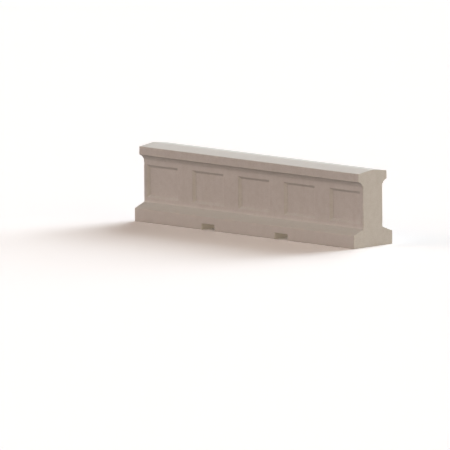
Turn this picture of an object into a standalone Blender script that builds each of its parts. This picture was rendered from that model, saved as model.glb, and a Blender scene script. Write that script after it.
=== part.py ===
"""Precast concrete road barrier, ten feet long, with its reinforcing cage.

X runs along the barrier, Y across it and Z up. The origin is on the ground,
under the middle of the barrier. The front is at -Y.

The concrete is one casting: a base with two fork pockets, a sloping shoulder,
a web with five splayed panels on each long face, a cove and a gabled cap.
Inside it are longitudinal bars, a stirrup, a tie and a cross bar at each
station, cross bars over the fork pockets, and the chairs that held the cage
off the mould. Each piece has a narrow hollow of its own in the concrete.
"""

import math

import bmesh
import bpy
from mathutils import Vector

INCH = 0.0254

# Outer form of the casting
LENGTH = 120.0 * INCH
HEIGHT = 30.0 * INCH
BASE_WIDTH = 21.0 * INCH
WEB_WIDTH = 10.5 * INCH
CAP_WIDTH = 15.5 * INCH
BASE_TOP = 5.25 * INCH
SHOULDER_TOP = 7.25 * INCH
COVE_BOTTOM = 23.5 * INCH
CAP_BOTTOM = 25.75 * INCH
CAP_EDGE_TOP = 29.0 * INCH
COVE_RADIUS = 3.575 * INCH
COVE_STEPS = 8

# Recessed panels, measured on the face of the web
PANEL_COUNT = 5
PANEL_PITCH = 25.0 * INCH
PANEL_WIDTH = 17.0 * INCH
PANEL_BOTTOM = 9.0 * INCH
PANEL_TOP = 21.75 * INCH
PANEL_DEPTH = 1.0 * INCH

# Fork pockets, which pass under the barrier from front to back
POCKET_WIDTH = 7.0 * INCH
POCKET_HEIGHT = 2.5 * INCH
POCKET_X = 20.0 * INCH

# Reinforcing bars
LONG_BAR_RADIUS = 5.0 / 16.0 * INCH
TIE_RADIUS = 1.0 / 4.0 * INCH
BAR_SIDES = 8
BEND_STEPS = 3
BAR_GAP = 0.0004
HOLLOW_CLEARANCE = 0.0005
LONG_BAR_LENGTH = LENGTH - 3.5 * INCH

# Places of the stirrups, ties and cap cross bars along the barrier
STATIONS = [side * x * INCH for side, x in (
    (-1, 57.2), (-1, 42.0), (-1, 27.0), (-1, 14.0), (1, 0.0),
    (1, 14.0), (1, 27.0), (1, 42.0), (1, 57.2))]
SIDE_STEP = 2.0 * TIE_RADIUS + BAR_GAP

# Web stirrup: an upturned U
STIRRUP_HALF_WIDTH = 2.625 * INCH
STIRRUP_TOP = 28.0 * INCH
STIRRUP_FOOT = 1.5 * INCH
STIRRUP_BEND = 1.5 * INCH

# Base tie: a flat closed hoop
TIE_HALF_WIDTH = 8.3 * INCH
TIE_BOTTOM = 2.0 * INCH
TIE_TOP = 4.6 * INCH
TIE_BEND = 1.0 * INCH

# Straight cross bars
CAP_CROSS_LENGTH = 12.5 * INCH
CAP_CROSS_Z = 27.35 * INCH
POCKET_CROSS_LENGTH = 15.5 * INCH
POCKET_CROSS_OFFSET = 1.75 * INCH

# Longitudinal bars, each level held against the piece that carries it
CONTACT = TIE_RADIUS + LONG_BAR_RADIUS + BAR_GAP
CAP_BAR_Y = 5.6 * INCH
WEB_BAR_Y = STIRRUP_HALF_WIDTH - CONTACT
BASE_INNER_Y = STIRRUP_HALF_WIDTH + CONTACT
BASE_OUTER_Y = TIE_HALF_WIDTH - TIE_BEND
CAP_BAR_Z = CAP_CROSS_Z - CONTACT
WEB_TOP_Z = 26.4 * INCH
WEB_MID_Z = 18.5 * INCH
WEB_LOW_Z = 10.5 * INCH
BASE_BAR_Z = TIE_TOP - CONTACT
POCKET_CROSS_Z = BASE_BAR_Z + CONTACT

# Chairs under the base ties
CHAIR_STATIONS = (1, 3, 5, 7)
CHAIR_Y = 5.0 * INCH
CHAIR_FOOT_RADIUS = 1.0 * INCH
CHAIR_TOP_RADIUS = 0.5 * INCH
CHAIR_SIDES = 12

# Turns that carry a shape from its own axes to the barrier's
TURN_SECTION = (math.pi / 2, 0.0, math.pi / 2)
TURN_ALONG_X = (0.0, math.pi / 2, 0.0)
TURN_ALONG_Y = (math.pi / 2, 0.0, 0.0)


def clear_scene():
    for old in list(bpy.data.objects):
        bpy.data.objects.remove(old, do_unlink=True)


def new_collection(name):
    collection = bpy.data.collections.new(name)
    bpy.context.scene.collection.children.link(collection)
    return collection


def new_material(name, colour, roughness, metallic=0.0):
    material = bpy.data.materials.new(name)
    material.use_nodes = True
    shader = material.node_tree.nodes["Principled BSDF"]
    shader.inputs["Base Color"].default_value = (*colour, 1.0)
    shader.inputs["Roughness"].default_value = roughness
    shader.inputs["Metallic"].default_value = metallic
    return material


def move_to(obj, collection):
    for holder in list(obj.users_collection):
        holder.objects.unlink(obj)
    collection.objects.link(obj)


def shade_round(mesh):
    mesh.shade_smooth()
    mesh.set_sharp_from_angle(angle=math.radians(50.0))


def curve_to_mesh(obj):
    """Swap a curve object for a mesh object of the same shape, with welded caps."""
    evaluated = obj.evaluated_get(bpy.context.evaluated_depsgraph_get())
    mesh = bpy.data.meshes.new_from_object(evaluated)
    work = bmesh.new()
    work.from_mesh(mesh)
    bmesh.ops.remove_doubles(work, verts=work.verts[:], dist=0.00001)
    work.to_mesh(mesh)
    work.free()
    swapped = bpy.data.objects.new(obj.name + "_mesh", mesh)
    swapped.matrix_world = obj.matrix_world.copy()
    bpy.context.scene.collection.objects.link(swapped)
    bpy.data.objects.remove(obj, do_unlink=True)
    return swapped


def section_curve(name, points, x, closed):
    """A curve drawn in the cross section, with (Y, Z) points, standing at x."""
    curve = bpy.data.curves.new(name, "CURVE")
    spline = curve.splines.new("POLY")
    spline.points.add(len(points) - 1)
    for slot, (y, z) in zip(spline.points, points):
        slot.co = (y, z, 0.0, 1.0)
    spline.use_cyclic_u = closed
    obj = bpy.data.objects.new(name, curve)
    obj.rotation_euler = TURN_SECTION
    obj.location.x = x
    bpy.context.scene.collection.objects.link(obj)
    bpy.context.view_layer.update()
    return obj


def rounded_path(corners, bend, closed):
    """The corners joined up, each turned one replaced by an arc of radius bend."""
    path = []
    count = len(corners)
    for index, corner in enumerate(corners):
        if not closed and index in (0, count - 1):
            path.append(tuple(corner))
            continue
        here = Vector(corner)
        back = (Vector(corners[index - 1]) - here).normalized()
        ahead = (Vector(corners[(index + 1) % count]) - here).normalized()
        centre = here + (back + ahead) * bend
        start = -ahead
        sweep = math.pi / 2
        for step in range(BEND_STEPS + 1):
            turn = sweep * step / BEND_STEPS
            spoke = start * math.cos(turn) - back * math.sin(turn)
            path.append(tuple(centre + spoke * bend))
    return path


# ---------------------------------------------------------------- reinforcement

def straight_bar(name, centre, length, radius, turn):
    bpy.ops.mesh.primitive_cylinder_add(
        vertices=BAR_SIDES, radius=radius, depth=length, location=centre, rotation=turn)
    bar = bpy.context.object
    bar.name = name
    return bar


def bent_bar(name, points, x, closed, radius):
    bar = section_curve(name, points, x, closed)
    bar.data.dimensions = "3D"
    bar.data.twist_mode = "Z_UP"
    bar.data.bevel_depth = radius
    bar.data.bevel_resolution = 2
    bar.data.use_fill_caps = not closed
    return bar


def outward(x):
    """The side of a stirrup that its tie and cross bar lie on: away from the middle."""
    return x + math.copysign(SIDE_STEP, x)


def long_bars(extra):
    levels = (
        ("cap_bar", CAP_BAR_Y, CAP_BAR_Z),
        ("web_top_bar", WEB_BAR_Y, WEB_TOP_Z),
        ("web_mid_bar", WEB_BAR_Y, WEB_MID_Z),
        ("web_low_bar", WEB_BAR_Y, WEB_LOW_Z),
        ("base_inner_bar", BASE_INNER_Y, BASE_BAR_Z),
        ("base_outer_bar", BASE_OUTER_Y, BASE_BAR_Z),
    )
    bars = []
    for level, y, z in levels:
        for face, side in (("front", -1.0), ("back", 1.0)):
            bars.append(straight_bar(
                f"{level}_{face}", (0.0, side * y, z),
                LONG_BAR_LENGTH + 2.0 * extra, LONG_BAR_RADIUS + extra, TURN_ALONG_X))
    return bars


def web_stirrups(extra):
    foot = STIRRUP_FOOT - extra
    corners = [(-STIRRUP_HALF_WIDTH, foot), (-STIRRUP_HALF_WIDTH, STIRRUP_TOP),
               (STIRRUP_HALF_WIDTH, STIRRUP_TOP), (STIRRUP_HALF_WIDTH, foot)]
    path = rounded_path(corners, STIRRUP_BEND, closed=False)
    return [bent_bar(f"web_stirrup_{number}", path, x, False, TIE_RADIUS + extra)
            for number, x in enumerate(STATIONS, start=1)]


def base_ties(extra):
    corners = [(-TIE_HALF_WIDTH, TIE_BOTTOM), (-TIE_HALF_WIDTH, TIE_TOP),
               (TIE_HALF_WIDTH, TIE_TOP), (TIE_HALF_WIDTH, TIE_BOTTOM)]
    path = rounded_path(corners, TIE_BEND, closed=True)
    return [bent_bar(f"base_tie_{number}", path, outward(x), True, TIE_RADIUS + extra)
            for number, x in enumerate(STATIONS, start=1)]


def cross_bars(extra):
    bars = []
    for number, x in enumerate(STATIONS, start=1):
        bars.append(straight_bar(
            f"cap_cross_bar_{number}", (outward(x), 0.0, CAP_CROSS_Z),
            CAP_CROSS_LENGTH + 2.0 * extra, TIE_RADIUS + extra, TURN_ALONG_Y))
    places = [middle + step for middle in (-POCKET_X, POCKET_X)
              for step in (-POCKET_CROSS_OFFSET, POCKET_CROSS_OFFSET)]
    for number, x in enumerate(places, start=1):
        bars.append(straight_bar(
            f"pocket_cross_bar_{number}", (x, 0.0, POCKET_CROSS_Z),
            POCKET_CROSS_LENGTH + 2.0 * extra, TIE_RADIUS + extra, TURN_ALONG_Y))
    return bars


def chair_places():
    return [(outward(STATIONS[index]), side * CHAIR_Y)
            for index in CHAIR_STATIONS for side in (-1.0, 1.0)]


def chair_cone(name, x, y, low, high, extra):
    """A cone from z = low to z = high, on the taper of a chair grown by extra."""
    taper = (CHAIR_FOOT_RADIUS - CHAIR_TOP_RADIUS) / TIE_BOTTOM
    bpy.ops.mesh.primitive_cone_add(
        vertices=CHAIR_SIDES, depth=high - low, location=(x, y, (low + high) / 2.0),
        radius1=CHAIR_FOOT_RADIUS - taper * low + extra,
        radius2=CHAIR_FOOT_RADIUS - taper * high + extra)
    cone = bpy.context.object
    cone.name = name
    return cone


def make_chairs(cutters):
    """Cones that stand on the mould, each with a saddle for the bottom of a tie."""
    saddles = []
    for number, x in enumerate(sorted({place[0] for place in chair_places()}), start=1):
        saddles.append(straight_bar(
            f"saddle_{number}", (x, 0.0, TIE_BOTTOM), 2.0 * CHAIR_Y + 6.0 * CHAIR_TOP_RADIUS,
            TIE_RADIUS + BAR_GAP, TURN_ALONG_Y))
    saddle_cutter = join_cutters("saddle_cutter", saddles, cutters)
    chairs = []
    for number, (x, y) in enumerate(chair_places(), start=1):
        chair = chair_cone(f"bar_chair_{number}", x, y, 0.0, TIE_BOTTOM, 0.0)
        cut(chair, saddle_cutter)
        chairs.append(chair)
    return chairs


# ---------------------------------------------------------------- cutting

def join_cutters(name, pieces, cutters):
    """One cutter made of separate closed pieces, which are removed."""
    work = bmesh.new()
    for piece in pieces:
        if piece.type == "CURVE":
            piece = curve_to_mesh(piece)
        bpy.context.view_layer.update()
        part = piece.data.copy()
        part.transform(piece.matrix_world)
        work.from_mesh(part)
        bpy.data.meshes.remove(part)
        bpy.data.objects.remove(piece, do_unlink=True)
    return cutter_from(name, work, cutters)


def cutter_from(name, work, cutters):
    mesh = bpy.data.meshes.new(name)
    work.to_mesh(mesh)
    work.free()
    cutter = bpy.data.objects.new(name, mesh)
    cutter.hide_render = True
    cutter.display_type = "WIRE"
    cutters.objects.link(cutter)
    return cutter


def cut(obj, cutter):
    modifier = obj.modifiers.new(cutter.name, "BOOLEAN")
    modifier.operation = "DIFFERENCE"
    modifier.solver = "EXACT"
    modifier.object = cutter


def panel_cutter(cutters):
    """Ten tapered plugs, which stand proud of the web and keep one splay throughout."""
    proud = 0.5 * INCH
    middle = (PANEL_TOP + PANEL_BOTTOM) / 2.0
    work = bmesh.new()
    for index in range(PANEL_COUNT):
        x = (index - (PANEL_COUNT - 1) / 2.0) * PANEL_PITCH
        for side in (-1.0, 1.0):
            for corner in bmesh.ops.create_cube(work, size=2.0)["verts"]:
                grow = proud if corner.co.y * side > 0.0 else -PANEL_DEPTH
                half_width = PANEL_WIDTH / 2.0 + grow
                half_height = (PANEL_TOP - PANEL_BOTTOM) / 2.0 + grow
                corner.co = (x + corner.co.x * half_width,
                             side * (WEB_WIDTH / 2.0 + grow),
                             middle + corner.co.z * half_height)
    return cutter_from("panel_cutter", work, cutters)


def pocket_cutter(cutters):
    below = 1.0 * INCH
    work = bmesh.new()
    for side in (-1.0, 1.0):
        for corner in bmesh.ops.create_cube(work, size=2.0)["verts"]:
            corner.co = (side * POCKET_X + corner.co.x * POCKET_WIDTH / 2.0,
                         corner.co.y * BASE_WIDTH,
                         POCKET_HEIGHT if corner.co.z > 0.0 else -below)
    return cutter_from("pocket_cutter", work, cutters)


def chair_cutter(cutters):
    below = 0.2 * INCH
    cones = [chair_cone(f"chair_hollow_{number}", x, y, -below,
                        TIE_BOTTOM + HOLLOW_CLEARANCE, HOLLOW_CLEARANCE)
             for number, (x, y) in enumerate(chair_places(), start=1)]
    return join_cutters("chair_cutter", cones, cutters)


# ---------------------------------------------------------------- casting

def cove_points():
    """The hollow curve from the web up to the lower edge of the cap, on the +Y side."""
    low = Vector((WEB_WIDTH / 2.0, COVE_BOTTOM))
    high = Vector((CAP_WIDTH / 2.0, CAP_BOTTOM))
    chord = high - low
    outward_normal = Vector((chord.y, -chord.x)).normalized()
    depth = math.sqrt(COVE_RADIUS ** 2 - (chord.length / 2.0) ** 2)
    centre = (low + high) / 2.0 + outward_normal * depth
    first = math.atan2(low.y - centre.y, low.x - centre.x)
    last = math.atan2(high.y - centre.y, high.x - centre.x)
    sweep = (last - first + math.pi) % (2.0 * math.pi) - math.pi
    points = []
    for step in range(COVE_STEPS + 1):
        angle = first + sweep * step / COVE_STEPS
        points.append((centre.x + COVE_RADIUS * math.cos(angle),
                       centre.y + COVE_RADIUS * math.sin(angle)))
    return points


def casting_outline():
    half = [(BASE_WIDTH / 2.0, 0.0), (BASE_WIDTH / 2.0, BASE_TOP),
            (WEB_WIDTH / 2.0, SHOULDER_TOP)]
    half += cove_points()
    half.append((CAP_WIDTH / 2.0, CAP_EDGE_TOP))
    mirrored = [(-y, z) for y, z in reversed(half)]
    return half + [(0.0, HEIGHT)] + mirrored


def make_concrete(cutters):
    section = section_curve("concrete_section", casting_outline(), 0.0, True)
    section.data.dimensions = "2D"
    section.data.fill_mode = "BOTH"
    section.data.extrude = LENGTH / 2.0
    body = curve_to_mesh(section)
    body.name = "concrete_body"
    grow = HOLLOW_CLEARANCE
    cut(body, panel_cutter(cutters))
    cut(body, pocket_cutter(cutters))
    cut(body, join_cutters("long_bar_cutter", long_bars(grow), cutters))
    cut(body, join_cutters("stirrup_cutter", web_stirrups(grow), cutters))
    cut(body, join_cutters("tie_cutter", base_ties(grow), cutters))
    cut(body, join_cutters("cross_bar_cutter", cross_bars(grow), cutters))
    cut(body, chair_cutter(cutters))
    return body


def finish(pieces, collection, material):
    for piece in pieces:
        move_to(piece, collection)
        piece.data.materials.clear()
        piece.data.materials.append(material)


def main():
    clear_scene()
    barrier = new_collection("concrete_jersey_barrier")
    cutters = new_collection("cutters")
    concrete = new_material("cast_concrete", (0.56, 0.48, 0.40), 0.9)
    bar_steel = new_material("rusted_bar_steel", (0.20, 0.10, 0.06), 0.75, 0.4)
    chair_plastic = new_material("chair_plastic", (0.05, 0.05, 0.055), 0.5)

    finish([make_concrete(cutters)], barrier, concrete)
    finish(make_chairs(cutters), barrier, chair_plastic)
    straight = long_bars(0.0) + cross_bars(0.0)
    finish(straight, barrier, bar_steel)
    finish(web_stirrups(0.0) + base_ties(0.0), barrier, bar_steel)
    for bar in straight:
        shade_round(bar.data)


main()
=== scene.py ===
import math
import random

import bmesh
import bpy
import numpy as np
from mathutils import Matrix, Vector, noise
from mathutils.bvhtree import BVHTree


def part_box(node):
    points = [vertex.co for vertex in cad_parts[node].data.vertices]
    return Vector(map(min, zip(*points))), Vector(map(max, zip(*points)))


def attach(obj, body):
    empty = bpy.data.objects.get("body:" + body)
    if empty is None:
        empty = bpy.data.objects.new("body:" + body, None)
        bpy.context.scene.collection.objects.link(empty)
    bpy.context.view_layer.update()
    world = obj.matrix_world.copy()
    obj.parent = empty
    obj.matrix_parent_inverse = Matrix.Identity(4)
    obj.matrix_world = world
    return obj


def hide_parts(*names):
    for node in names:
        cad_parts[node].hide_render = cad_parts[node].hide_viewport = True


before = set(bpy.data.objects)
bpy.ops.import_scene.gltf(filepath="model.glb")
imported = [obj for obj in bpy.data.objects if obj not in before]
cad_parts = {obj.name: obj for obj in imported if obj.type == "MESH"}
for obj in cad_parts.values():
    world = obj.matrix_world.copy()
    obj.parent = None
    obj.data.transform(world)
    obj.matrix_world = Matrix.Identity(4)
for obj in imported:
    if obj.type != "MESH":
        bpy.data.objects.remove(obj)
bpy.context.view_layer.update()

# The looks of a precast concrete road barrier: a cast body with softened arrises, chips and
# air holes, ribbed bars inside it, and the moulded chairs that the bars stood on.
# X runs along the barrier, Y across it and Z up; the front is at -Y.

INCH = 0.0254
MM = 0.001
BODY = "root"

LOW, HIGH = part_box("concrete_body")
LENGTH = HIGH.x - LOW.x
HEIGHT = HIGH.z - LOW.z
BASE_WIDTH = HIGH.y - LOW.y

# Section of the casting: half widths and heights
WEB_HALF = 5.25 * INCH
CAP_HALF = 7.75 * INCH
BASE_HALF = BASE_WIDTH / 2.0
BASE_TOP = 5.25 * INCH
SHOULDER_TOP = 7.25 * INCH
COVE_BOTTOM = 23.5 * INCH
CAP_BOTTOM = 25.75 * INCH
CAP_EDGE_TOP = 29.0 * INCH
COVE_RADIUS = 3.575 * INCH

# Recessed panels
PANEL_COUNT = 5
PANEL_PITCH = 25.0 * INCH
PANEL_HALF_WIDTH = 8.5 * INCH
PANEL_BOTTOM = 9.0 * INCH
PANEL_TOP = 21.75 * INCH
PANEL_DEPTH = 1.0 * INCH

# Fork pockets
POCKET_HALF_WIDTH = 3.5 * INCH
POCKET_HEIGHT = 2.5 * INCH
POCKET_X = 20.0 * INCH

# How the casting is softened and meshed
ARRIS_RADIUS = 6.0 * MM
FOOT_RADIUS = 4.0 * MM
HOLLOW_RADIUS = 9.0 * MM
END_RADIUS = 4.0 * MM
SPLAY_ROUND = 2.5 * MM
POCKET_ROUND = 6.0 * MM
ARC_STEPS = 4
QUARTER_ARC = [math.pi / 2.0 * step / ARC_STEPS for step in range(ARC_STEPS + 1)]
COVE_STEPS = 10
FLAT_STEP = 26.0 * MM
COLUMNS = 18
UNEVENNESS = 0.9 * MM
HOLLOW_CLEARANCE = 0.5 * MM
SLIVER = 0.02 * MM
CUTTER_OVERRUN = 20.0 * MM

# Air holes and chips. Sizes in mm: the smallest, and how much larger the largest are.
PIT_COUNT = 650
PIT_RADIUS = (1.1, 3.4)
PITS_ON_SIDES = 0.80
PITS_ON_SIDES_AND_ENDS = 0.92
CHIP_COUNT = 84
CHIP_RADIUS = (3.5, 10.5)
SEED = 20

# Paler edges: fully pale this near the arris, and the width over which it fades away
WEAR_FULL = 3.0 * MM
WEAR_FADE = 9.0 * MM

# Reinforcement. The seam's height is a share of a rib's, and the pitch a multiple of the radius.
RIB_HEIGHT = 0.7 * MM
SEAM_HEIGHT = 0.8
RIB_PITCH = 1.3
RIB_PLACES = (0.0, 0.42, 0.58, 0.84)
RIB_SLANT = math.tan(math.radians(24.0))
AROUND = 8
STIRRUP_BEND = 1.5 * INCH
TIE_BEND = 1.0 * INCH
TIE_RADIUS = 0.25 * INCH

# Chairs. The hollow is a share of the height.
CHAIR_SIDES = 32
CHAIR_LIP = 3.0 * MM
CHAIR_WALL = 2.6 * MM
CHAIR_RIB = 1.3 * MM
CHAIR_HOLLOW = 0.55

# Light and view
WARM = (1.24, 1.0, 0.865)
AMBER = (1.20, 1.0, 0.735)
FLOOR_SEEN = (1.275, 1.287, 1.330)
FLOOR_BOUNCE = (0.32, 0.31, 0.30)
FLOOR_HALF = 200.0
WORLD_LIGHT = 0.014
LIGHT_DISTANCE = 8.0
CAMERA_DISTANCE = 60.0
CAMERA_REACH = 300.0
VIEW_AZIMUTH = 45.2
VIEW_ELEVATION = 7.9
VIEW_ROLL = -0.6
VIEW_SPAN = 4.413
VIEW_SHIFT = (1.3073, 0.4982)


# ------------------------------------------------------------------ small helpers

def mesh_object(name, verts, faces):
    mesh = bpy.data.meshes.new(name)
    mesh.from_pydata([tuple(v) for v in verts], [], faces)
    mesh.validate()
    obj = bpy.data.objects.new(name, mesh)
    bpy.context.scene.collection.objects.link(obj)
    return obj


def object_from(name, work):
    mesh = bpy.data.meshes.new(name)
    work.to_mesh(mesh)
    work.free()
    obj = bpy.data.objects.new(name, mesh)
    bpy.context.scene.collection.objects.link(obj)
    return obj


def carve(obj, cutter):
    """Take cutter out of obj for good."""
    modifier = obj.modifiers.new("carve", "BOOLEAN")
    modifier.operation = "DIFFERENCE"
    modifier.solver = "MANIFOLD"
    modifier.object = cutter
    settle(obj)
    bpy.data.objects.remove(cutter, do_unlink=True)


def settle(obj):
    """Make the modified shape the object's own mesh."""
    seen = obj.evaluated_get(bpy.context.evaluated_depsgraph_get())
    mesh = bpy.data.meshes.new_from_object(seen)
    obj.modifiers.clear()
    old = obj.data
    obj.data = mesh
    bpy.data.meshes.remove(old)


def clear_slivers(obj):
    """Close up the hair-thin faces and tiny edges that cutting leaves."""
    work = bmesh.new()
    work.from_mesh(obj.data)
    bmesh.ops.triangulate(work, faces=work.faces[:])
    for _ in range(3):
        bmesh.ops.dissolve_degenerate(work, dist=SLIVER, edges=work.edges[:])
    bmesh.ops.triangulate(work, faces=[face for face in work.faces if len(face.verts) > 3])
    work.to_mesh(obj.data)
    work.free()


def finish_piece(obj, node, material):
    obj.data.materials.clear()
    obj.data.materials.append(material)
    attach(obj, BODY)
    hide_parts(node)


def spread(start, end, step):
    """Even places from start up to, but not at, end, no further apart than step."""
    count = max(1, math.ceil(abs(end - start) / step - 1e-6))
    return [start + (end - start) * index / count for index in range(count)]


# ------------------------------------------------------------------ section of the casting

def gable(y):
    """Height of the cap's top at a distance y from the middle, with a slightly worn ridge."""
    worn = 6.0 * MM
    slope = (HEIGHT - CAP_EDGE_TOP) / CAP_HALF
    away = abs(y)
    if away < worn:
        away = (away * away + worn * worn) / (2.0 * worn)
    return HEIGHT - slope * away


def rounded_corner(before, corner, after, radius):
    """Points of the arc that rounds a corner of the section."""
    back = (before - corner).normalized()
    ahead = (after - corner).normalized()
    half = back.angle(ahead) / 2.0
    middle = corner + (back + ahead).normalized() * (radius / math.sin(half))
    start = corner + back * (radius / math.tan(half)) - middle
    end = corner + ahead * (radius / math.tan(half)) - middle
    sweep = start.angle_signed(end)
    points = []
    for step in range(ARC_STEPS + 1):
        turn = -sweep * step / ARC_STEPS
        points.append(middle + Vector((
            start.x * math.cos(turn) - start.y * math.sin(turn),
            start.x * math.sin(turn) + start.y * math.cos(turn))))
    return points


def cove_points():
    """The hollow curve under the cap, from the web up to the cap's lower arris."""
    low = Vector((WEB_HALF, COVE_BOTTOM))
    high = Vector((CAP_HALF, CAP_BOTTOM))
    chord = high - low
    away = Vector((chord.y, -chord.x)).normalized()
    middle = (low + high) / 2.0 + away * math.sqrt(COVE_RADIUS ** 2 - (chord.length / 2.0) ** 2)
    first = math.atan2(low.y - middle.y, low.x - middle.x)
    last = math.atan2(high.y - middle.y, high.x - middle.x)
    sweep = (last - first + math.pi) % (2.0 * math.pi) - math.pi
    return [middle + Vector((math.cos(first + sweep * step / COVE_STEPS),
                             math.sin(first + sweep * step / COVE_STEPS))) * COVE_RADIUS
            for step in range(COVE_STEPS + 1)]


def splay_offsets():
    """Distances in from a panel's outer arris where the splay needs a line of the mesh."""
    near = [-2.0, -1.0, -0.4, 0.4, 1.0, 2.0]
    outer = [SPLAY_ROUND * share for share in near]
    inner = [PANEL_DEPTH + SPLAY_ROUND * share for share in near]
    return outer + [PANEL_DEPTH * 0.35, PANEL_DEPTH * 0.65] + inner


def section_rows():
    """Half width, height and outward normal of each row, from the underside up to the cap's top."""
    cove = cove_points()
    corners = [
        (Vector((BASE_HALF, 0.0)), FOOT_RADIUS),
        (Vector((BASE_HALF, BASE_TOP)), ARRIS_RADIUS),
        (Vector((WEB_HALF, SHOULDER_TOP)), HOLLOW_RADIUS),
        (cove[0], 0.0),
    ]
    outline = [Vector((0.0, 0.0))]
    for index, (corner, radius) in enumerate(corners):
        after = corners[index + 1][0] if index + 1 < len(corners) else cove[1]
        before = corners[index - 1][0] if index else outline[0]
        outline += rounded_corner(before, corner, after, radius) if radius else [corner]
    outline += cove[1:-1]
    edge_top = Vector((CAP_HALF, CAP_EDGE_TOP))
    outline += rounded_corner(cove[-2], cove[-1], edge_top, ARRIS_RADIUS)
    outline += rounded_corner(cove[-1], edge_top, Vector((0.0, HEIGHT)), ARRIS_RADIUS)
    outline.append(Vector((0.0, HEIGHT)))

    lines = sorted([PANEL_BOTTOM + s for s in splay_offsets()]
                   + [PANEL_TOP - s for s in splay_offsets()])
    points = [outline[1]]
    for here, there in zip(outline[1:-2], outline[2:-1]):
        stops = [here.y]
        if abs(here.x - WEB_HALF) < 1e-6 and there.y - here.y > PANEL_TOP - PANEL_BOTTOM:
            stops += lines
        stops.append(there.y)
        if there.y - here.y < 1e-9:
            points.append(there)
            continue
        for low, high in zip(stops[:-1], stops[1:]):
            for z in spread(low, high, FLAT_STEP)[1:] + [high]:
                share = (z - here.y) / (there.y - here.y)
                points.append(here.lerp(there, share))
    chain = [outline[0]] + points + [outline[-1]]
    rows = []
    for before, here, after in zip(chain[:-2], chain[1:-1], chain[2:]):
        along = (here - before).normalized() + (after - here).normalized()
        normal = Vector((along.y, -along.x)).normalized()
        rows.append((here.x, here.y, normal.x, normal.y))
    return rows


def panel_middle(index):
    return (index - (PANEL_COUNT - 1) / 2.0) * PANEL_PITCH


def stations():
    """Places along the barrier, with how far the end's rounding draws the section in at each."""
    half = LENGTH / 2.0
    lines = []
    for index in range(PANEL_COUNT):
        middle = panel_middle(index)
        lines += [middle - PANEL_HALF_WIDTH + s for s in splay_offsets()]
        lines += [middle + PANEL_HALF_WIDTH - s for s in splay_offsets()]
    arc = [(half - END_RADIUS + END_RADIUS * math.sin(turn), END_RADIUS * (1.0 - math.cos(turn)))
           for turn in QUARTER_ARC]
    stops = [-arc[0][0]] + sorted(lines) + [arc[0][0]]
    middle_run = []
    for low, high in zip(stops[:-1], stops[1:]):
        middle_run += [(x, 0.0) for x in spread(low, high, FLAT_STEP)]
    return [(-x, draw) for x, draw in reversed(arc)] + middle_run[1:] + arc


def ramp(s):
    """Depth of the splay at a distance s in from its outer arris, rounded at both ends."""
    if s <= -SPLAY_ROUND:
        return 0.0
    if s < SPLAY_ROUND:
        return (s + SPLAY_ROUND) ** 2 / (4.0 * SPLAY_ROUND)
    if s < PANEL_DEPTH - SPLAY_ROUND:
        return s
    if s < PANEL_DEPTH + SPLAY_ROUND:
        return PANEL_DEPTH - (PANEL_DEPTH + SPLAY_ROUND - s) ** 2 / (4.0 * SPLAY_ROUND)
    return PANEL_DEPTH


def panel_depth(x, z):
    """How deep the nearest panel is at a place on the web."""
    index = min(max(round(x / PANEL_PITCH + (PANEL_COUNT - 1) / 2.0), 0), PANEL_COUNT - 1)
    across = PANEL_HALF_WIDTH - abs(x - panel_middle(index))
    inside = min(across, z - PANEL_BOTTOM, PANEL_TOP - z)
    return ramp(inside)


def unevenness(point):
    """How far the cast face lies behind the true one: long waves and a shorter ripple."""
    waves = noise.noise(point * 3.1) + 0.5 * noise.noise(point * 9.7 + Vector((5.0, 2.0, 8.0)))
    ripple = noise.noise(point * 31.0 + Vector((1.0, 7.0, 3.0)))
    return UNEVENNESS * (0.5 + 0.32 * waves + 0.10 * ripple)


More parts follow.
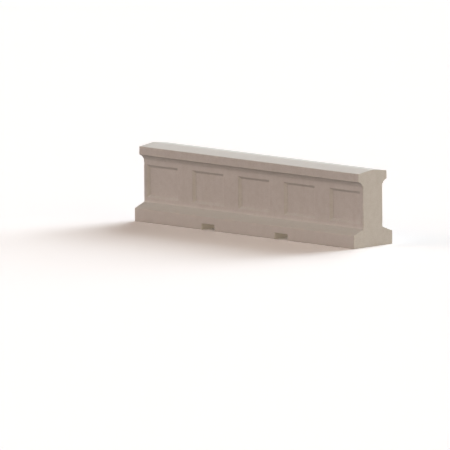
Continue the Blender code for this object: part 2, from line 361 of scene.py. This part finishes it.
def casting_lattice():
    """The casting's skin: rows up its sides, stations along it and columns across it."""
    rows, posts = section_rows(), stations()
    last_row, last_post = len(rows) - 1, len(posts) - 1
    cap_foot = next(k for k, row in enumerate(rows) if row[1] > CAP_BOTTOM)
    verts, index = [], {}

    def place(i, j, k):
        key = (i, j, k)
        if key in index:
            return index[key]
        x, draw = posts[i]
        width, z, ny, nz = rows[k]
        v = 2.0 * j / COLUMNS - 1.0
        y = v * (width - draw * ny)
        height = z - draw * nz
        lift = gable(v * width) - gable(width)
        if k == last_row:
            height += lift
        elif k > cap_foot:
            height += lift * ((z - CAP_BOTTOM) / (CAP_EDGE_TOP - CAP_BOTTOM)) ** 2
        normal = Vector((0.0, 0.0, 0.0))
        if j in (0, COLUMNS):
            normal += Vector((0.0, math.copysign(ny, v), nz))
            y -= math.copysign(panel_depth(x, z), v)
        elif k == last_row:
            normal.z += 1.0
        if i in (0, last_post):
            normal.x += 0.7 if i else -0.7
        point = Vector((x, y, height))
        if k > 0 and normal.length > 0.0:
            point -= normal.normalized() * unevenness(point)
        index[key] = len(verts)
        verts.append(point)
        return index[key]

    faces = []

    def quad(a, b, c, d):
        """Two triangles, along the diagonal that keeps a splay's mitre sharp."""
        if abs(verts[a].y) > WEB_HALF * 0.5 and SHOULDER_TOP < verts[a].z < COVE_BOTTOM:
            middle = (verts[a] + verts[c]) / 2.0
            other = (verts[b] + verts[d]) / 2.0
            true_y = WEB_HALF - panel_depth(middle.x, middle.z)
            if abs(abs(middle.y) - true_y) > abs(abs(other.y) - true_y) + 1e-5:
                faces.extend([(a, b, d), (b, c, d)])
                return
            faces.extend([(a, b, c), (a, c, d)])
            return
        faces.append((a, b, c, d))

    for i in range(last_post):
        for k in range(last_row):
            quad(place(i, 0, k), place(i + 1, 0, k), place(i + 1, 0, k + 1), place(i, 0, k + 1))
            quad(place(i + 1, COLUMNS, k), place(i, COLUMNS, k),
                 place(i, COLUMNS, k + 1), place(i + 1, COLUMNS, k + 1))
        for j in range(COLUMNS):
            quad(place(i, j, last_row), place(i + 1, j, last_row),
                 place(i + 1, j + 1, last_row), place(i, j + 1, last_row))
            quad(place(i, j + 1, 0), place(i + 1, j + 1, 0), place(i + 1, j, 0), place(i, j, 0))
    for k in range(last_row):
        for j in range(COLUMNS):
            quad(place(0, j + 1, k), place(0, j, k), place(0, j, k + 1), place(0, j + 1, k + 1))
            quad(place(last_post, j, k), place(last_post, j + 1, k),
                 place(last_post, j + 1, k + 1), place(last_post, j, k + 1))
    return mesh_object("cast_concrete_body", verts, faces)


# ------------------------------------------------------------------ things taken out of the casting

def loft(name, rings, closed=False):
    """A mesh through rings of equal length, joined up in a loop or capped at both ends."""
    count, levels = len(rings[0]), len(rings)
    verts = [point for ring in rings for point in ring]
    faces = []
    for level in range(levels if closed else levels - 1):
        base, after = level * count, (level + 1) % levels * count
        for a in range(count):
            b = (a + 1) % count
            faces.append((base + a, base + b, after + b, after + a))
    if not closed:
        faces.append(tuple(reversed(range(count))))
        faces.append(tuple((levels - 1) * count + a for a in range(count)))
    obj = mesh_object(name, verts, faces)
    work = bmesh.new()
    work.from_mesh(obj.data)
    bmesh.ops.recalc_face_normals(work, faces=work.faces[:])
    work.to_mesh(obj.data)
    work.free()
    return obj


def pocket_ring(x_middle, y, grow):
    """Section of a fork pocket with rounded upper corners, grown by the rounding of its mouth."""
    corner = 10.0 * MM
    half, top = POCKET_HALF_WIDTH + grow, POCKET_HEIGHT + grow
    points = [Vector((x_middle - half, y, -CUTTER_OVERRUN))]
    for side in (-1.0, 1.0):
        arc = [Vector((x_middle + side * (half - corner + corner * math.cos(turn)), y,
                       top - corner + corner * math.sin(turn))) for turn in QUARTER_ARC]
        points += arc if side < 0.0 else arc[::-1]
    points.append(Vector((x_middle + half, y, -CUTTER_OVERRUN)))
    return points


def cut_pockets(body):
    """Two slots right through the base, with rounded mouths."""
    mouth = [(BASE_HALF + CUTTER_OVERRUN, POCKET_ROUND)]
    mouth += [(BASE_HALF - POCKET_ROUND * (1.0 - math.cos(turn)),
               POCKET_ROUND * (1.0 - math.sin(turn))) for turn in QUARTER_ARC]
    levels = [(-y, grow) for y, grow in mouth] + [(y, grow) for y, grow in reversed(mouth)]
    for side in (-1.0, 1.0):
        carve(body, loft("pocket", [pocket_ring(side * POCKET_X, y, grow) for y, grow in levels]))


def cut_hollows(body):
    """Room for each piece that is cast in, in groups whose pieces don't touch one another."""
    groups = ("bar_front", "bar_back", "web_stirrup", "base_tie", "cross_bar", "bar_chair")
    for group in groups:
        work = bmesh.new()
        for name in sorted(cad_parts):
            if group in name:
                add_grown_node(work, name)
        carve(body, object_from("hollows", work))


def add_grown_node(work, name):
    """A CAD node, a little larger all round. A chair is a plain cone, run out below the base."""
    part = bmesh.new()
    chair = "bar_chair" in name
    if chair:
        low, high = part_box(name)
        width = high.x - low.x
        middle = Vector(((low.x + high.x) / 2.0, (low.y + high.y) / 2.0, high.z / 2.0))
        bmesh.ops.create_cone(part, cap_ends=True, segments=24, radius1=width / 2.0,
                              radius2=width / 4.0, depth=high.z,
                              matrix=Matrix.Translation(middle))
    else:
        part.from_mesh(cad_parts[name].data)
        bmesh.ops.remove_doubles(part, verts=part.verts[:], dist=0.01 * MM)
    part.normal_update()
    moves = [(vert, vert.normal.copy()) for vert in part.verts]
    for vert, normal in moves:
        vert.co += normal * HOLLOW_CLEARANCE
        if chair and vert.co.z < 1.0 * MM:
            vert.co.z = -5.0 * MM
    scratch = bpy.data.meshes.new("grown")
    part.to_mesh(scratch)
    part.free()
    work.from_mesh(scratch)
    bpy.data.meshes.remove(scratch)


def add_blob(work, centre, sizes, turn, lumpiness, detail, rng):
    """A lumpy ball, stretched and turned."""
    ball = bmesh.ops.create_icosphere(work, subdivisions=detail, radius=1.0)["verts"]
    shift = Vector((rng.uniform(0.0, 50.0), rng.uniform(0.0, 50.0), rng.uniform(0.0, 50.0)))
    for vert in ball:
        vert.co *= 1.0 + lumpiness * noise.noise(vert.co * 1.6 + shift)
        vert.co = turn @ Vector((vert.co.x * sizes[0], vert.co.y * sizes[1], vert.co.z * sizes[2]))
        vert.co += centre


def cut_pits(body, rng):
    """Air holes: small, round and scattered over the cast faces."""
    work = bmesh.new()
    work.from_mesh(body.data)
    tree = BVHTree.FromBMesh(work)
    work.free()
    pits, taken = bmesh.new(), []
    half = LENGTH / 2.0
    while len(taken) < PIT_COUNT:
        pick = rng.random()
        if pick < PITS_ON_SIDES:
            side = rng.choice((-1.0, 1.0))
            start = Vector((rng.uniform(-half, half), side, rng.uniform(0.01, CAP_EDGE_TOP)))
            aim = Vector((0.0, -side, 0.0))
        elif pick < PITS_ON_SIDES_AND_ENDS:
            side = rng.choice((-1.0, 1.0))
            start = Vector((side * (half + 1.0), rng.uniform(-0.25, 0.25),
                            rng.uniform(0.02, HEIGHT)))
            aim = Vector((-side, 0.0, 0.0))
        else:
            start = Vector((rng.uniform(-half, half), rng.uniform(-CAP_HALF, CAP_HALF), 2.0))
            aim = Vector((0.0, 0.0, -1.0))
        spot, normal, _, _ = tree.ray_cast(start, aim)
        if spot is None or normal.dot(aim) > -0.5:
            continue
        radius = MM * (PIT_RADIUS[0] + PIT_RADIUS[1] * rng.random() ** 3)
        if any((spot - other).length < 2.4 * (radius + size) for other, size in taken):
            continue
        taken.append((spot, radius))
        turn = normal.to_track_quat("Z", "Y").to_matrix()
        stretch = rng.uniform(0.85, 1.25)
        add_blob(pits, spot + normal * radius * 0.15, (radius, radius * stretch, radius * 0.9),
                 turn, 0.25, 1, rng)
    carve(body, object_from("pits", pits))


def arris_lines():
    """(start, end, outward direction) of each straight arris that gets knocked."""
    half = LENGTH / 2.0
    lines = []
    for side in (-1.0, 1.0):
        for y, z, rise in ((BASE_HALF, BASE_TOP, 0.9), (BASE_HALF, 0.0, -0.6),
                           (CAP_HALF, CAP_BOTTOM, -0.8), (CAP_HALF, CAP_EDGE_TOP, 1.0)):
            direction = Vector((0.0, side, rise)).normalized()
            lines.append((Vector((-half, side * y, z)), Vector((half, side * y, z)), direction))
        for end in (-1.0, 1.0):
            for y, low, high in ((BASE_HALF, 0.0, BASE_TOP), (CAP_HALF, CAP_BOTTOM, CAP_EDGE_TOP),
                                 (WEB_HALF, SHOULDER_TOP, COVE_BOTTOM)):
                direction = Vector((end, side, 0.0)).normalized()
                lines.append((Vector((end * half, side * y, low)),
                              Vector((end * half, side * y, high)), direction))
    return lines


def cut_chips(body, rng):
    """Small breaks along the arrises, from handling."""
    lines = arris_lines()
    weights = [(line[1] - line[0]).length ** 0.6 for line in lines]
    chips, taken = bmesh.new(), []
    while len(taken) < CHIP_COUNT:
        start, end, out = rng.choices(lines, weights)[0]
        spot = start.lerp(end, rng.random())
        size = MM * (CHIP_RADIUS[0] + CHIP_RADIUS[1] * rng.random() ** 2.2)
        if any((spot - other).length < 2.6 * (size + reach) for other, reach in taken):
            continue
        taken.append((spot, size))
        along = (end - start).normalized()
        across = out.cross(along)
        turn = Matrix((along, across, out)).transposed()
        add_blob(chips, spot + out * size * 0.35, (size * rng.uniform(1.2, 2.4), size, size * 0.8),
                 turn, 0.55, 2, rng)
    carve(body, object_from("chips", chips))


def mark_wear(body):
    """Store how near each point is to an arris, for the paler, cleaner edges of the concrete."""
    count = len(body.data.vertices)
    points = np.empty(count * 3, np.float32)
    body.data.vertices.foreach_get("co", points)
    points = points.reshape(-1, 3).astype(float)
    nearest = np.full(count, 1.0)
    for start, end, _ in arris_lines():
        a, along = np.array(start), np.array(end - start)
        share = np.clip((points - a) @ along / (along @ along), 0.0, 1.0)
        nearest = np.minimum(nearest, np.linalg.norm(points - a - share[:, None] * along, axis=1))
    wear = np.clip(1.0 - (nearest - WEAR_FULL) / WEAR_FADE, 0.0, 1.0)
    layer = body.data.attributes.new("edge_wear", "FLOAT", "POINT")
    layer.data.foreach_set("value", wear.astype(np.float32))


def make_concrete_body(material):
    rng = random.Random(SEED)
    body = casting_lattice()
    cut_pockets(body)
    cut_pits(body, rng)
    cut_chips(body, rng)
    cut_hollows(body)
    clear_slivers(body)
    mark_wear(body)
    body.data.shade_smooth()
    body.data.set_sharp_from_angle(angle=math.radians(34.0))
    even = body.modifiers.new("even_shading", "WEIGHTED_NORMAL")
    even.keep_sharp = True
    even.weight = 60
    finish_piece(body, "concrete_body", material)
    return body


# ------------------------------------------------------------------ reinforcement

def rounded_path(corners, bend, closed):
    """The corners joined up, with an arc at each turn, as points across and up."""
    path, count = [], len(corners)
    for index, corner in enumerate(corners):
        if not closed and index in (0, count - 1):
            path.append(corner)
            continue
        back = (corners[index - 1] - corner).normalized()
        ahead = (corners[(index + 1) % count] - corner).normalized()
        middle = corner + (back + ahead) * bend
        for step in range(9):
            turn = math.pi / 2.0 * step / 8
            path.append(middle - (ahead * math.cos(turn) + back * math.sin(turn)) * bend)
    return path


def resample(path, closed, pitch):
    """Points along the path, four to a rib, the bar's direction at each, and the rib count."""
    points = np.array([tuple(p) for p in path] + ([tuple(path[0])] if closed else []))
    run = np.concatenate([[0.0], np.cumsum(np.linalg.norm(np.diff(points, axis=0), axis=1))])
    ribs = max(2, round(run[-1] / pitch))
    places = [(rib + share) * run[-1] / ribs for rib in range(ribs) for share in RIB_PLACES]
    if not closed:
        places.append(run[-1])
    places = np.array(places)
    spots = np.stack([np.interp(places, run, line) for line in points.T], axis=1)
    nudge = pitch * 0.1
    if closed:
        ahead, behind = (places + nudge) % run[-1], (places - nudge) % run[-1]
    else:
        ahead, behind = np.minimum(places + nudge, run[-1]), np.maximum(places - nudge, 0.0)
    tangents = np.stack([np.interp(ahead, run, line) - np.interp(behind, run, line)
                         for line in points.T], axis=1)
    tangents /= np.linalg.norm(tangents, axis=1)[:, None]
    return spots, tangents, ribs


def ribbed_bar(name, path, side, radius, closed):
    """A reinforcing bar: slanted ribs round it and a low seam along each side."""
    spots, tangents, ribs = resample(path, closed, radius * RIB_PITCH)
    heights = np.tile([1.0, 1.0, 0.0, 0.0], ribs)
    if not closed:
        heights = np.append(heights, 1.0)
    core = radius - RIB_HEIGHT - 0.1 * MM
    total = len(spots)
    rings = []
    for number, (spot, tangent, height) in enumerate(zip(spots, tangents, heights)):
        up = np.cross(tangent, side)
        fade = 1.0 if closed else min(1.0, number / 8.0, (total - 1 - number) / 8.0)
        ring = []
        for step in range(AROUND):
            turn = 2.0 * math.pi * step / AROUND
            if step in (0, AROUND // 2):
                rise = SEAM_HEIGHT
            else:
                rise = height * (0.75 + 0.25 * abs(math.sin(turn)))
            across = side * math.cos(turn) + up * math.sin(turn)
            lean = tangent * (math.sin(turn) * core * RIB_SLANT * fade)
            ring.append(spot + across * (core + RIB_HEIGHT * rise) + lean)
        rings.append(ring)
    return loft(name, rings, closed)


def make_bar(node, material):
    """The ribbed bar that stands for one CAD bar, worked out from that bar's box."""
    low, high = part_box(node)
    middle, size = (low + high) / 2.0, high - low
    if "stirrup" in node or "tie" in node:
        closed = "tie" in node
        radius = size.x / 2.0
        half, top = size.y / 2.0 - radius, high.z - radius
        foot = low.z + radius if closed else low.z
        corners = [Vector(c) for c in ((-half, foot), (-half, top), (half, top), (half, foot))]
        flat = rounded_path(corners, TIE_BEND if closed else STIRRUP_BEND, closed)
        path = [Vector((middle.x, p.x, p.y)) for p in flat]
        bar = ribbed_bar("ribbed_" + node, path, np.array((1.0, 0.0, 0.0)), radius, closed)
    else:
        axis = 0 if size.x > size.y else 1
        radius = size.z / 2.0
        start, end = middle.copy(), middle.copy()
        start[axis], end[axis] = low[axis], high[axis]
        bar = ribbed_bar("ribbed_" + node, [start, end], np.array((0.0, 0.0, 1.0)), radius, False)
    bar.data.shade_smooth()
    bar.data.set_sharp_from_angle(angle=math.radians(60.0))
    finish_piece(bar, node, material)


# ------------------------------------------------------------------ chairs

def make_chair(node, material):
    """A moulded cone, open below round a cross of ribs, with a saddle for the tie."""
    low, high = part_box(node)
    foot, top = (high.x - low.x) / 2.0, (high.x - low.x) / 4.0
    x, y, tall = (low.x + high.x) / 2.0, (low.y + high.y) / 2.0, high.z
    profile = [(foot - 0.6 * MM, 0.0), (foot, 0.6 * MM), (foot - 0.6 * MM, CHAIR_LIP),
               (foot - 3.2 * MM, CHAIR_LIP + 1.0 * MM), (top + 0.5 * MM, tall - 3.0 * MM),
               (top, tall - 1.5 * MM), (top - 0.8 * MM, tall)]
    turns = [2.0 * math.pi * a / CHAIR_SIDES for a in range(CHAIR_SIDES)]
    rings = [[Vector((x + r * math.cos(turn), y + r * math.sin(turn), z)) for turn in turns]
             for r, z in profile]
    chair = loft("moulded_" + node, rings)
    deep = tall * CHAIR_HOLLOW
    inner_foot = foot - CHAIR_WALL
    inner_top = foot - (foot - top) * deep / tall - CHAIR_WALL - 3 * MM
    for quarter in range(4):
        outline = []
        for z, reach in ((-1.0 * MM, inner_foot), (deep, inner_top)):
            ring = [Vector((CHAIR_RIB, CHAIR_RIB, z))]
            for step in range(7):
                swing = math.radians(10.0 + 70.0 * step / 6)
                ring.append(Vector((max(CHAIR_RIB, reach * math.cos(swing)),
                                    max(CHAIR_RIB, reach * math.sin(swing)), z)))
            outline.append(ring)
        cutter = loft("chair_hollow", outline)
        cutter.data.transform(Matrix.Translation((x, y, 0.0))
                              @ Matrix.Rotation(math.pi / 2.0 * quarter, 4, "Z"))
        carve(chair, cutter)
    saddle_radius = TIE_RADIUS + HOLLOW_CLEARANCE
    saddle = bmesh.new()
    bmesh.ops.create_cone(saddle, cap_ends=True, segments=24, radius1=saddle_radius,
                          radius2=saddle_radius, depth=4.0 * top,
                          matrix=Matrix.Translation((x, y, tall))
                          @ Matrix.Rotation(math.pi / 2.0, 4, "X"))
    carve(chair, object_from("saddle", saddle))
    clear_slivers(chair)
    chair.data.shade_smooth()
    chair.data.set_sharp_from_angle(angle=math.radians(35.0))
    finish_piece(chair, node, material)


# ------------------------------------------------------------------ materials

def new_material(name):
    material = bpy.data.materials.new(name)
    material.use_nodes = True
    return material, material.node_tree.nodes, material.node_tree.links


def noise_node(nodes, links, vector, scale, detail=3.0, roughness=0.55):
    node = nodes.new("ShaderNodeTexNoise")
    node.inputs["Scale"].default_value = scale
    node.inputs["Detail"].default_value = detail
    node.inputs["Roughness"].default_value = roughness
    links.new(vector, node.inputs["Vector"])
    return node.outputs["Fac"]


def remap(nodes, links, value, low, high, to_low, to_high):
    node = nodes.new("ShaderNodeMapRange")
    node.inputs["From Min"].default_value = low
    node.inputs["From Max"].default_value = high
    node.inputs["To Min"].default_value = to_low
    node.inputs["To Max"].default_value = to_high
    links.new(value, node.inputs["Value"])
    return node.outputs["Result"]


def mix_colour(nodes, links, factor, first, second, mode="MIX"):
    node = nodes.new("ShaderNodeMix")
    node.data_type = "RGBA"
    node.blend_type = mode
    sockets = [node.inputs[0], node.inputs[6], node.inputs[7]]
    for socket, value in zip(sockets, (factor, first, second)):
        if isinstance(value, bpy.types.NodeSocket):
            links.new(value, socket)
        elif isinstance(value, tuple):
            socket.default_value = (*value, 1.0)
        else:
            socket.default_value = value
    return node.outputs[2]


def maths(nodes, links, operation, first, second):
    node = nodes.new("ShaderNodeMath")
    node.operation = operation
    for socket, value in zip(node.inputs, (first, second)):
        if isinstance(value, bpy.types.NodeSocket):
            links.new(value, socket)
        else:
            socket.default_value = value
    return node.outputs[0]


def bump_node(nodes, links, height, distance, strength=1.0, before=None):
    node = nodes.new("ShaderNodeBump")
    node.inputs["Distance"].default_value = distance
    node.inputs["Strength"].default_value = strength
    links.new(height, node.inputs["Height"])
    if before is not None:
        links.new(before, node.inputs["Normal"])
    return node.outputs["Normal"]


def concrete_material():
    """Grey concrete, cloudy and sandy, with faint runs; a base painted paler to offset the shade it
    gets beside the shadowed floor, darker at its foot;
    painted shade inside the fork pockets; faces turned up painted cooler and the cap's top painted
    paler, as painted light from above; and patchy pale arrises."""
    material, nodes, links = new_material("cast_concrete_looks")
    shader = nodes["Principled BSDF"]
    place = nodes.new("ShaderNodeTexCoord").outputs["Object"]
    split = nodes.new("ShaderNodeSeparateXYZ")
    links.new(place, split.inputs[0])

    clouds = noise_node(nodes, links, place, 2.3, 4.0, 0.6)
    mottle = noise_node(nodes, links, place, 17.0, 4.0, 0.65)
    speckle = noise_node(nodes, links, place, 75.0, 3.0, 0.7)
    sand = noise_node(nodes, links, place, 420.0, 2.0, 0.7)
    stretch = nodes.new("ShaderNodeMapping")
    stretch.inputs["Scale"].default_value = (14.0, 14.0, 0.9)
    links.new(place, stretch.inputs["Vector"])
    runs = noise_node(nodes, links, stretch.outputs[0], 1.0, 3.0, 0.5)
    colour = mix_colour(nodes, links, remap(nodes, links, clouds, 0.35, 0.65, 0.0, 1.0),
                        (0.610, 0.592, 0.589), (0.643, 0.625, 0.622))
    for value, start, full, most, tint in (
            (mottle, 0.40, 0.75, 0.42, (0.530, 0.502, 0.487)),
            (speckle, 0.54, 0.70, 0.40, (0.490, 0.462, 0.440)),
            (speckle, 0.42, 0.30, 0.35, (0.740, 0.720, 0.705)),
            (sand, 0.52, 0.72, 0.35, (0.430, 0.395, 0.365)),
            (sand, 0.42, 0.28, 0.30, (0.780, 0.760, 0.750)),
            (runs, 0.55, 0.80, 0.20, (0.500, 0.470, 0.430))):
        amount = remap(nodes, links, value, start, full, 0.0, most)
        colour = mix_colour(nodes, links, amount, colour, tint)

    # Painted light: the base and shoulder are painted paler, to offset the shade they get beside
    # the shadowed floor.
    base_painted_paler = remap(nodes, links, split.outputs["Z"], SHOULDER_TOP - 0.01, SHOULDER_TOP + 0.03,
                  0.46, 0.0)
    from_end = maths(nodes, links, "ABSOLUTE", split.outputs["X"], 0.0)
    sides = remap(nodes, links, from_end, LENGTH / 2.0 - 0.012, LENGTH / 2.0 - 0.002, 1.0, 0.0)
    colour = mix_colour(nodes, links, maths(nodes, links, "MULTIPLY", base_painted_paler, sides),
                        colour, (0.760, 0.750, 0.745))
    low_down = remap(nodes, links, split.outputs["Z"], 0.0, 0.035, 1.0, 0.0)
    splash = maths(nodes, links, "MULTIPLY", low_down, mottle)
    colour = mix_colour(nodes, links, maths(nodes, links, "MULTIPLY", splash, 0.5),
                        colour, (0.440, 0.405, 0.375))

    # Painted shade: the walls inside the fork pockets, and the underside, are painted darker, as
    # the shade inside them.
    from_middle = maths(nodes, links, "ABSOLUTE", split.outputs["Y"], 0.0)
    deep = remap(nodes, links, from_middle, BASE_HALF - 0.030, BASE_HALF - 0.004, 1.0, 0.0)
    under = remap(nodes, links, split.outputs["Z"], POCKET_HEIGHT, POCKET_HEIGHT + 0.004, 1.0, 0.0)
    pocket_painted_shade = maths(nodes, links, "MULTIPLY", maths(nodes, links, "MULTIPLY", deep, under), sides)
    colour = mix_colour(nodes, links, maths(nodes, links, "MULTIPLY", pocket_painted_shade, 0.32),
                        colour, (0.400, 0.368, 0.335))

    facing = nodes.new("ShaderNodeSeparateXYZ")
    links.new(nodes.new("ShaderNodeNewGeometry").outputs["True Normal"], facing.inputs[0])
    # Painted light: faces turned up are painted cooler and paler, as the cool light falling on them
    # from above.
    up_faces_painted_cool = remap(nodes, links, facing.outputs["Z"], 0.5, 0.9, 0.0, 0.26)
    colour = mix_colour(nodes, links, up_faces_painted_cool, colour, (0.680, 0.780, 0.750))
    # Painted light: the cap's top is painted paler still, as the strong light that falls on it.
    top_painted_paler = remap(nodes, links, facing.outputs["Z"], 0.955, 0.985, 0.0, 0.45)
    colour = mix_colour(nodes, links, top_painted_paler, colour, (0.800, 0.790, 0.770))

    worn = nodes.new("ShaderNodeAttribute")
    worn.attribute_name = "edge_wear"
    knocks = noise_node(nodes, links, place, 6.5, 4.0, 0.75)
    rubbed = maths(nodes, links, "MULTIPLY", worn.outputs["Fac"],
                   remap(nodes, links, knocks, 0.44, 0.64, 0.0, 0.75))
    colour = mix_colour(nodes, links, rubbed, colour, (0.720, 0.700, 0.670))
    links.new(colour, shader.inputs["Base Color"])

    links.new(remap(nodes, links, mottle, 0.3, 0.7, 0.62, 0.80), shader.inputs["Roughness"])
    shader.inputs["Specular IOR Level"].default_value = 0.5
    grain = bump_node(nodes, links, sand, 0.0006, 0.7)
    grain = bump_node(nodes, links, speckle, 0.0012, 0.5, grain)
    voids = nodes.new("ShaderNodeTexVoronoi")
    voids.inputs["Scale"].default_value = 95.0
    links.new(place, voids.inputs["Vector"])
    pits = remap(nodes, links, voids.outputs["Distance"], 0.06, 0.16, 0.0, 1.0)
    grain = bump_node(nodes, links, pits, 0.0006, 0.5, grain)
    links.new(bump_node(nodes, links, mottle, 0.002, 0.35, grain), shader.inputs["Normal"])
    return material


def steel_material(name, dark, rust, shift):
    """Mill steel under patchy rust."""
    material, nodes, links = new_material(name)
    shader = nodes["Principled BSDF"]
    place = nodes.new("ShaderNodeTexCoord").outputs["Object"]
    moved = nodes.new("ShaderNodeMapping")
    moved.inputs["Location"].default_value = (shift, shift, shift)
    links.new(place, moved.inputs["Vector"])
    patches = noise_node(nodes, links, moved.outputs[0], 38.0, 5.0, 0.7)
    grit = noise_node(nodes, links, moved.outputs[0], 900.0, 2.0, 0.6)
    rusty = remap(nodes, links, patches, 0.38, 0.60, 0.0, 1.0)
    colour = mix_colour(nodes, links, rusty, dark, rust)
    colour = mix_colour(nodes, links, remap(nodes, links, grit, 0.5, 0.8, 0.0, 0.5),
                        colour, (0.30, 0.13, 0.05))
    links.new(colour, shader.inputs["Base Color"])
    links.new(remap(nodes, links, rusty, 0.0, 1.0, 0.75, 0.1), shader.inputs["Metallic"])
    links.new(remap(nodes, links, rusty, 0.0, 1.0, 0.45, 0.92), shader.inputs["Roughness"])
    links.new(bump_node(nodes, links, grit, 0.0002, 0.6), shader.inputs["Normal"])
    return material


def chair_material():
    """Black moulded plastic, dulled by cement."""
    material, nodes, links = new_material("chair_plastic_looks")
    shader = nodes["Principled BSDF"]
    place = nodes.new("ShaderNodeTexCoord").outputs["Object"]
    dust = noise_node(nodes, links, place, 120.0, 4.0, 0.65)
    fine = noise_node(nodes, links, place, 1500.0, 1.0, 0.5)
    colour = mix_colour(nodes, links, remap(nodes, links, dust, 0.48, 0.75, 0.0, 0.6),
                        (0.035, 0.036, 0.040), (0.30, 0.27, 0.235))
    links.new(colour, shader.inputs["Base Color"])
    links.new(remap(nodes, links, dust, 0.4, 0.7, 0.38, 0.8), shader.inputs["Roughness"])
    links.new(bump_node(nodes, links, fine, 0.0001, 0.4), shader.inputs["Normal"])
    return material


# ------------------------------------------------------------------ stage, lights and camera

def make_floor():
    """A pale floor; it looks brighter to the camera than the light that it throws back."""
    corners = [(x * FLOOR_HALF, y * FLOOR_HALF, 0.0)
               for x, y in ((-1, -1), (1, -1), (1, 1), (-1, 1))]
    floor = mesh_object("floor", corners, [(0, 1, 2, 3)])
    material, nodes, links = new_material("pale_floor")
    nodes.remove(nodes["Principled BSDF"])
    shader = nodes.new("ShaderNodeBsdfDiffuse")
    ray = nodes.new("ShaderNodeLightPath")
    tone = mix_colour(nodes, links, ray.outputs["Is Camera Ray"], FLOOR_BOUNCE, FLOOR_SEEN)
    links.new(tone, shader.inputs["Color"])
    links.new(shader.outputs[0], nodes["Material Output"].inputs["Surface"])
    floor.data.materials.append(material)


def make_world():
    """A white backdrop that adds only a little light of its own."""
    world = bpy.data.worlds.new("studio")
    bpy.context.scene.world = world
    world.use_nodes = True
    nodes, links = world.node_tree.nodes, world.node_tree.links
    nodes.clear()
    output = nodes.new("ShaderNodeOutputWorld")
    lit = nodes.new("ShaderNodeBackground")
    lit.inputs["Color"].default_value = (*WARM, 1.0)
    lit.inputs["Strength"].default_value = WORLD_LIGHT
    seen = nodes.new("ShaderNodeBackground")
    seen.inputs["Color"].default_value = (1.0, 1.0, 1.0, 1.0)
    seen.inputs["Strength"].default_value = 1.0
    pick = nodes.new("ShaderNodeMixShader")
    ray = nodes.new("ShaderNodeLightPath")
    mirrored = maths(nodes, links, "MAXIMUM", ray.outputs["Is Camera Ray"],
                     ray.outputs["Is Glossy Ray"])
    links.new(mirrored, pick.inputs[0])
    links.new(lit.outputs[0], pick.inputs[1])
    links.new(seen.outputs[0], pick.inputs[2])
    links.new(pick.outputs[0], output.inputs["Surface"])


def make_light(name, azimuth, elevation, spread_angle, strength, colour, shadow=True):
    """A far soft light. Azimuth 0 is behind the barrier, 90 its right end and 180 its front."""
    light = bpy.data.lights.new(name, "SUN")
    light.energy = strength * math.pi
    light.color = colour
    light.angle = math.radians(spread_angle)
    light.use_shadow = shadow
    obj = bpy.data.objects.new(name, light)
    a, e = math.radians(azimuth), math.radians(elevation)
    towards = Vector((math.sin(a) * math.cos(e), math.cos(a) * math.cos(e), math.sin(e)))
    obj.rotation_mode = "QUATERNION"
    obj.rotation_quaternion = towards.to_track_quat("Z", "Y")
    obj.location = towards * LIGHT_DISTANCE
    bpy.context.scene.collection.objects.link(obj)


def make_lights():
    """Three broad lights behind the barrier, cooler the lower they are, and warm fill from the
    front, the left and the right. Two fills cast no shadow, like light off a studio's walls."""
    make_light("key_low", 9.0, 18.0, 30.0, 0.44, (0.88, 1.0, 1.08))
    make_light("key_main", -8.0, 29.0, 42.0, 0.565, (0.95, 1.0, 1.01))
    make_light("key_high", 10.0, 40.0, 60.0, 0.215, (1.07, 0.96, 0.90))
    make_light("fill_left", 225.0, 15.3, 60.0, 0.42, WARM)
    make_light("fill_front", 180.0, 12.0, 70.0, 0.105, WARM, shadow=False)
    make_light("fill_right", 85.0, 6.0, 60.0, 0.155, AMBER)
    make_light("fill_right_through", 85.0, 6.0, 60.0, 0.30, AMBER, shadow=False)


def make_camera():
    """A camera with no perspective, from the front right, tipped a little."""
    camera = bpy.data.cameras.new("camera")
    camera.type = "ORTHO"
    camera.ortho_scale = VIEW_SPAN
    obj = bpy.data.objects.new("camera", camera)
    a, e = math.radians(VIEW_AZIMUTH), math.radians(VIEW_ELEVATION)
    back = Vector((math.sin(a) * math.cos(e), -math.cos(a) * math.cos(e), math.sin(e)))
    turn = (back.to_track_quat("Z", "Y").to_matrix()
            @ Matrix.Rotation(math.radians(VIEW_ROLL), 3, "Z"))
    obj.rotation_mode = "QUATERNION"
    obj.rotation_quaternion = turn.to_quaternion()
    near_corner = Vector((LENGTH / 2.0, -CAP_HALF, CAP_EDGE_TOP))
    right, up = turn.col[0], turn.col[1]
    aim = near_corner - right * VIEW_SHIFT[0] - up * VIEW_SHIFT[1]
    obj.location = aim + back * CAMERA_DISTANCE
    camera.clip_end = CAMERA_REACH
    bpy.context.scene.collection.objects.link(obj)
    bpy.context.scene.camera = obj


# ------------------------------------------------------------------ the whole scene

def make_barrier():
    """Every piece of the barrier, each in the place of its CAD node."""
    make_concrete_body(concrete_material())
    long_steel = steel_material("long_bar_looks", (0.16, 0.14, 0.13), (0.22, 0.09, 0.04), 0.0)
    tie_steel = steel_material("tie_looks", (0.18, 0.16, 0.15), (0.26, 0.11, 0.05), 3.0)
    plastic = chair_material()
    for node in sorted(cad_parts):
        if node.startswith("bar_chair"):
            make_chair(node, plastic)
        elif node.endswith(("_front", "_back")):
            make_bar(node, long_steel)
        elif node != "concrete_body":
            make_bar(node, tie_steel)


make_barrier()
make_floor()
make_world()
make_lights()
make_camera()

bpy.context.scene.view_settings.view_transform = "Standard"
bpy.context.view_layer.update()
